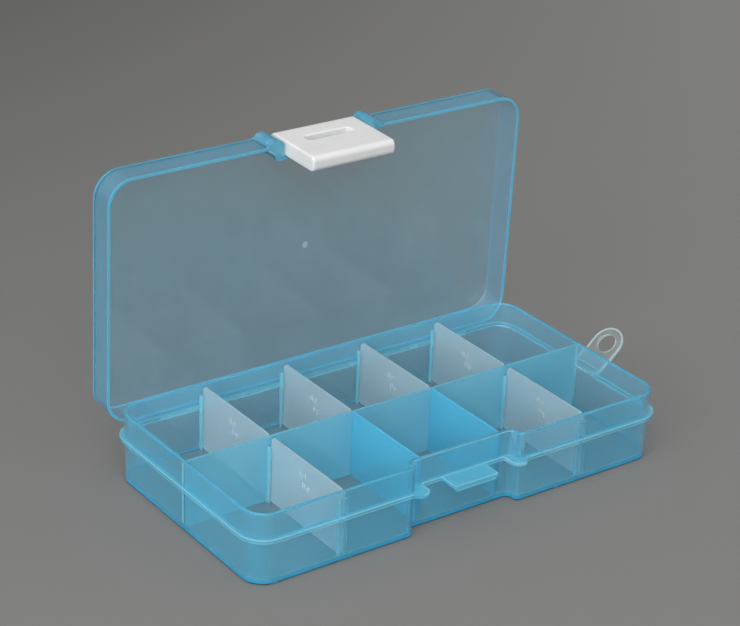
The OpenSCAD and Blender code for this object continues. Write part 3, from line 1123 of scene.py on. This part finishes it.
class BEADBOX_OT_lid(bpy.types.Operator):
    """Build the lid with its skirt and the two noses that carry the latch."""

    bl_idname = "bead_box.lid"
    bl_label = "Lid"

    def execute(self, context):
        s = settings()
        tray, lid, latch = s.tray, s.lid, s.latch
        ceiling = lid.top - lid.top_thick
        outer = loft(
            flange_outline(tray, s.nose),
            rounded(
                [
                    (-lid.rim_round * 1.5, lid.low, 0),
                    (0, lid.low, lid.rim_round),
                    (-lid.draft * (ceiling - lid.low) / (lid.top - lid.low), ceiling, 0),
                    (-lid.draft, lid.top, lid.crown_round),
                    (-lid.draft - lid.crown_round * 1.05, lid.top, 0),
                ],
                steps=7,
            ),
        )
        flare = lid.gap + tray.wall / 20
        lean = lid.gap - lid.draft
        inner = loft(
            wall_outline(tray),
            rounded(
                [
                    (flare, lid.low - tray.wall, 0),
                    (flare, lid.low + tray.wall / 20, 0),
                    (lid.gap, lid.low + tray.wall / 4, 0),
                    (lean, ceiling, lid.crown_cove),
                    (lean - lid.crown_cove, ceiling, 0),
                ],
                steps=6,
            ),
        )
        body = tool("lid_moulding", [outer], plastic("skirt"))
        pin_y = -latch.back - latch.thick / 2
        hole = round_outline(pin_y, latch.pin_height, latch.pin + latch.pin_gap, 24)
        holes = []
        for side in (-1, 1):
            ends = sorted((side * (latch.half - tray.wall), side * (latch.half + latch.pin_length * 1.1)))
            holes.append(loft(hole, straight(*ends), along_x))
        hollow = tool("lid hollow", [inner], plastic("skirt"))
        pin_holes = tool("pin holes", holes, plastic("nose"))
        combine(body, [("DIFFERENCE", hollow), ("DIFFERENCE", pin_holes), *self.gate(lid)])
        for kind, chosen in self.zones(s, ceiling):
            repaint(body, plastic(kind), chosen)
        opened(body)
        finish_piece(body)
        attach(body, "lid")
        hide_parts("lid")
        return {"FINISHED"}

    @staticmethod
    def zones(s, ceiling):
        """Painted zones, each a plastic and a test of a face's centre and normal; later ones lie on top."""
        tray, lid = s.tray, s.lid
        front = -tray.width / 2 - tray.flange_reach
        out_from = s.nose.inner - tray.wall / 5
        out_to = s.nose.inner + s.nose.radius * 2
        mark = lid.gate * 1.05
        lowest, highest = -0.1, 0.85

        def on_panel(at, n):
            """Tells the flat faces of the top."""
            return at.z > ceiling - tray.wall / 20 and abs(n.z) > SQUARE

        def on_painted_edge_highlight(at, n):
            """Tells the band round the top's edge, outside, where a highlight is painted; the end that
            carries the hang tab is left unlit.
            """
            outward = at.x * n.x + at.y * n.y > 0
            return outward and at.z > ceiling and lowest < n.z < highest and n.x < SLIGHT

        return (
            ("pane", on_panel),
            # painted glow on the lid's rim
            ("edge", lambda at, n: at.z < lid.low + lid.rim_round),
            # painted highlight on the lid's outer edge, on all but the hang tab's end
            ("bend", on_painted_edge_highlight),
            ("nose", lambda at, n: at.y < front + tray.wall / 2 and out_from < abs(at.x) < out_to),
            ("divider", lambda at, n: at.z > ceiling + lid.gate_depth and at.xy.length < mark),
        )

    @staticmethod
    def gate(lid):
        """The moulding gate's dimple and its small stub, as steps for combine."""
        deep = lid.top - lid.gate_depth
        soft = lid.gate_depth * 0.7
        dimple = loft(
            round_outline(0, 0, lid.gate, 28),
            [(-soft, deep), (-soft * 0.3, deep + soft * 0.3), (0, deep + soft), (0, lid.top + lid.gate)],
        )
        stub = loft(round_outline(0, 0, lid.gate * 0.35, 16), soft_ends(deep - soft, deep + soft, soft / 2))
        return [("DIFFERENCE", tool("gate dimple", [dimple])), ("UNION", tool("gate stub", [stub]))]


class BEADBOX_OT_latch(bpy.types.Operator):
    """Build the white latch with its barrel, its slot and its two pins."""

    bl_idname = "bead_box.latch"
    bl_label = "Latch"

    def execute(self, context):
        s = settings()
        latch = s.latch
        half = latch.thick / 2
        pin_y = -latch.back - half
        foot = latch.foot + latch.foot_round
        side = (
            turn(pin_y, latch.pin_height, half, 0, 180, steps=20)
            + turn(pin_y - half + latch.foot_round, foot, latch.foot_round, 180, 270, steps=8)
            + turn(pin_y + half - latch.foot_round, foot, latch.foot_round, 270, 360, steps=8)
        )
        slab = loft(side, soft_ends(-latch.half, latch.half, latch.edge_round, steps=6), along_x)
        body = tool("latch_plate", [slab], white_plastic("White latch plastic", s.colours.latch))
        pins = []
        for end in (-1, 1):
            ends = sorted((end * (latch.half - latch.pin), end * (latch.half + latch.pin_length)))
            pin = round_outline(pin_y, latch.pin_height, latch.pin, 24)
            pins.append(loft(pin, soft_ends(*ends, latch.pin / 5), along_x))
        slot = self.slot(latch, pin_y - half, pin_y + half)
        combine(body, [("DIFFERENCE", tool("slot", [slot])), ("UNION", tool("pins", pins))])
        opened(body)
        finish_piece(body)
        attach(body, "latch")
        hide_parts("latch")
        return {"FINISHED"}

    @staticmethod
    def slot(latch, outside, inside):
        """The slot that takes the keeper tongue, with a rounded mouth on the outside and on the inside."""
        half, flare = latch.slot_half, latch.slot_flare
        outline = plate_outline(-half, latch.slot_low, half, latch.slot_high, latch.slot_corner)
        mouth = []
        for k in range(6):
            a = math.radians(18 * k)
            mouth.append((flare * (1 - math.sin(a)), flare * (1 - math.cos(a))))
        levels = [(flare, outside - latch.thick)]
        levels += [(grow, outside + deep) for grow, deep in mouth]
        levels += [(grow, inside - deep) for grow, deep in reversed(mouth)]
        levels += [(flare, inside + latch.thick)]
        return loft(outline, levels, along_y)


class BEADBOX_OT_dividers(bpy.types.Operator):
    """Build the six loose dividers with their small mould marks."""

    bl_idname = "bead_box.dividers"
    bl_label = "Dividers"

    def execute(self, context):
        s = settings()
        for row, name in ((1, "back"), (-1, "front")):
            for number, column in enumerate(COLUMNS[row], 1):
                self.divider(s, f"divider_{name}_{number}", column * s.fittings.pitch, row)
        return {"FINISHED"}

    @staticmethod
    def divider(s, node, x, row):
        """One divider in the back row, or in the front row where row is -1."""
        d = s.divider
        ends = sorted((row * d.near, row * d.far))
        half = d.thick / 2
        face = plate_outline(ends[0], d.low, ends[1], d.top, d.corner)
        plate = loft(face, soft_ends(x - half, x + half, d.edge_round), along_x)
        body = tool(node.replace("divider", "loose_plate"), [plate], plastic("divider"))
        marks = []
        across, proud = d.mark_half, d.mark_proud
        for column, level, height in MOULD_MARKS:
            y = (ends[0] + ends[1]) / 2 - column * MM
            z = d.top - level * MM
            up = height * MM / 2
            mark = plate_outline(y - across, z - up, y + across, z + up, across * 0.9, steps=3)
            marks.append(loft(mark, soft_ends(x - half - proud, x, proud / 2, 2), along_x))
        combine(body, [("UNION", tool("mould marks", marks, plastic("mark")))])
        for vertex in body.data.vertices:
            up = (vertex.co.z - d.low) / (d.top - d.low)
            vertex.co.x = x + (vertex.co.x - x) * (1 - d.taper * up)
        finish_piece(body)
        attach(body, node)
        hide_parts(node)


class BEADBOX_OT_stage(bpy.types.Operator):
    """Set up the floor, the lamps, the world and the camera."""

    bl_idname = "bead_box.stage"
    bl_label = "Stage"

    def execute(self, context):
        s = settings()
        studio = s.studio
        half = studio.floor_half
        mesh = bpy.data.meshes.new("studio_floor")
        below = -0.00005
        mesh.from_pydata(
            [(-half, -half, below), (half, -half, below), (half, half, below), (-half, half, below)],
            [],
            [(0, 1, 2, 3)],
        )
        floor = bpy.data.objects.new("studio_floor", mesh)
        context.scene.collection.objects.link(floor)
        mesh.materials.append(self.floor_paint(s.colours))
        self.lamp(context, "key_lamp", studio.key_at, studio.key_size, studio.key_power)
        self.lamp(context, "side_lamp", studio.side_at, studio.side_size, studio.side_power)
        context.scene.world = self.sky(studio)
        self.camera(context, studio)
        context.scene.view_settings.view_transform = "Standard"
        cycles = context.scene.cycles
        cycles.max_bounces = 40
        cycles.transmission_bounces = 40
        cycles.transparent_max_bounces = 60
        cycles.glossy_bounces = 12
        cycles.diffuse_bounces = 6
        return {"FINISHED"}

    @staticmethod
    def sky(studio):
        """Soft light all round that is stronger overhead and weaker low down behind the box."""
        world = bpy.data.worlds.new("studio_world")
        world.use_nodes = True
        tree = world.node_tree
        back = tree.nodes["Background"]
        back.inputs["Color"].default_value = (1, 1, 1, 1)
        place = add(tree, "ShaderNodeTexCoord")
        split = add(tree, "ShaderNodeSeparateXYZ")
        low, high = studio.sky_low, studio.sky_high
        height = add(tree, "ShaderNodeMapRange", From_Max=studio.sky_full, To_Min=low, To_Max=high)
        behind = add(tree, "ShaderNodeVectorMath", operation="DOT_PRODUCT", Vector=AWAY)
        far, edge = studio.sky_far, studio.sky_edge
        fade = add(tree, "ShaderNodeMapRange", From_Max=edge, To_Min=1.0, To_Max=far)
        both = add(tree, "ShaderNodeMath", operation="MULTIPLY")
        join(
            tree,
            (place, "Generated", split, 0),
            (place, "Generated", behind, 1),
            (split, "Z", height, "Value"),
            (behind, "Value", fade, "Value"),
            (height, "Result", both, 0),
            (fade, "Result", both, 1),
            (both, 0, back, "Strength"),
        )
        return world

    @staticmethod
    def floor_paint(c):
        """A matte floor with painted shade, a little darker on its far left."""
        material, tree, out = bare_material("Studio floor")
        skin = add(tree, "ShaderNodeBsdfPrincipled", Roughness=0.9, Specular_IOR_Level=0.0)
        place = add(tree, "ShaderNodeTexCoord")
        # distances from a point in front of the box; the painted shade is deepest where their product is
        # least
        start_right, start_away = 0.052, -0.133
        darkest, lightest = -0.105, 0.054
        across = add(tree, "ShaderNodeVectorMath", operation="DOT_PRODUCT", Vector=RIGHT)
        along = add(tree, "ShaderNodeVectorMath", operation="DOT_PRODUCT", Vector=AWAY)
        right = add(tree, "ShaderNodeMath", operation="ADD", Value=-start_right)
        away = add(tree, "ShaderNodeMath", operation="ADD", Value=-start_away)
        both = add(tree, "ShaderNodeMath", operation="MULTIPLY")
        ramp = add(tree, "ShaderNodeMapRange", From_Min=darkest, From_Max=lightest)
        mix = add(tree, "ShaderNodeMix", data_type="RGBA")
        mix.inputs[MIX_A].default_value = (*c.floor_painted_shade, 1)
        mix.inputs[MIX_B].default_value = (*c.floor_light, 1)
        join(
            tree,
            (place, "Object", across, 1),
            (place, "Object", along, 1),
            (across, "Value", right, 1),
            (along, "Value", away, 1),
            (right, 0, both, 0),
            (away, 0, both, 1),
            (both, 0, ramp, "Value"),
            (ramp, "Result", mix, MIX_FACTOR),
            (mix, MIX_COLOUR, skin, "Base Color"),
            (skin, 0, out, "Surface"),
        )
        return material

    @staticmethod
    def lamp(context, name, place, size, power):
        """A round soft lamp that points at the box."""
        data = bpy.data.lights.new(name, "AREA")
        data.shape = "DISK"
        data.size = size
        data.energy = power
        lamp = bpy.data.objects.new(name, data)
        context.scene.collection.objects.link(lamp)
        lamp.location = place
        aim = (CAD_LOW + CAD_HIGH) / 2 - Vector(place)
        lamp.rotation_euler = aim.to_track_quat("-Z", "Y").to_euler()

    @staticmethod
    def camera(context, studio):
        """The photograph's camera."""
        data = bpy.data.cameras.new("camera")
        data.sensor_width = 36
        data.lens = studio.focal
        data.clip_start = 0.01
        camera = bpy.data.objects.new("camera", data)
        context.scene.collection.objects.link(camera)
        back = -Vector(studio.camera_aim).normalized()
        right = Vector(studio.camera_right).normalized()
        up = back.cross(right)
        turned = Matrix((right, up, back)).transposed().to_4x4()
        camera.matrix_world = Matrix.Translation(Vector(studio.camera_at)) @ turned
        context.scene.camera = camera


OPERATORS = (
    BEADBOX_OT_tray,
    BEADBOX_OT_film,
    BEADBOX_OT_lid,
    BEADBOX_OT_latch,
    BEADBOX_OT_dividers,
    BEADBOX_OT_stage,
)


class BEADBOX_PT_panel(bpy.types.Panel):
    """Lists the box's operators and settings."""

    bl_idname = "BEADBOX_PT_panel"
    bl_label = "Bead Box"
    bl_space_type = "VIEW_3D"
    bl_region_type = "UI"
    bl_category = "Bead Box"

    def draw(self, context):
        for operator in OPERATORS:
            self.layout.operator(operator.bl_idname)
        for name, group in GROUPS.items():
            box = self.layout.box()
            box.label(text=name.capitalize())
            for setting in group.__annotations__:
                box.prop(getattr(context.scene.bead_box, name), setting)


CLASSES = (*GROUPS.values(), BEADBOX_PG_all, *OPERATORS, BEADBOX_PT_panel)


def register():
    """Registers every class and the scene's settings."""
    for cls in CLASSES:
        bpy.utils.register_class(cls)
    bpy.types.Scene.bead_box = PointerProperty(type=BEADBOX_PG_all)


def unregister():
    """Removes the scene's settings and every class."""
    del bpy.types.Scene.bead_box
    for cls in reversed(CLASSES):
        bpy.utils.unregister_class(cls)


def main():
    """Builds the whole box and its stage."""
    register()
    bpy.ops.bead_box.tray()
    bpy.ops.bead_box.film()
    bpy.ops.bead_box.lid()
    bpy.ops.bead_box.latch()
    bpy.ops.bead_box.dividers()
    bpy.ops.bead_box.stage()


if __name__ == "__main__":
    main()
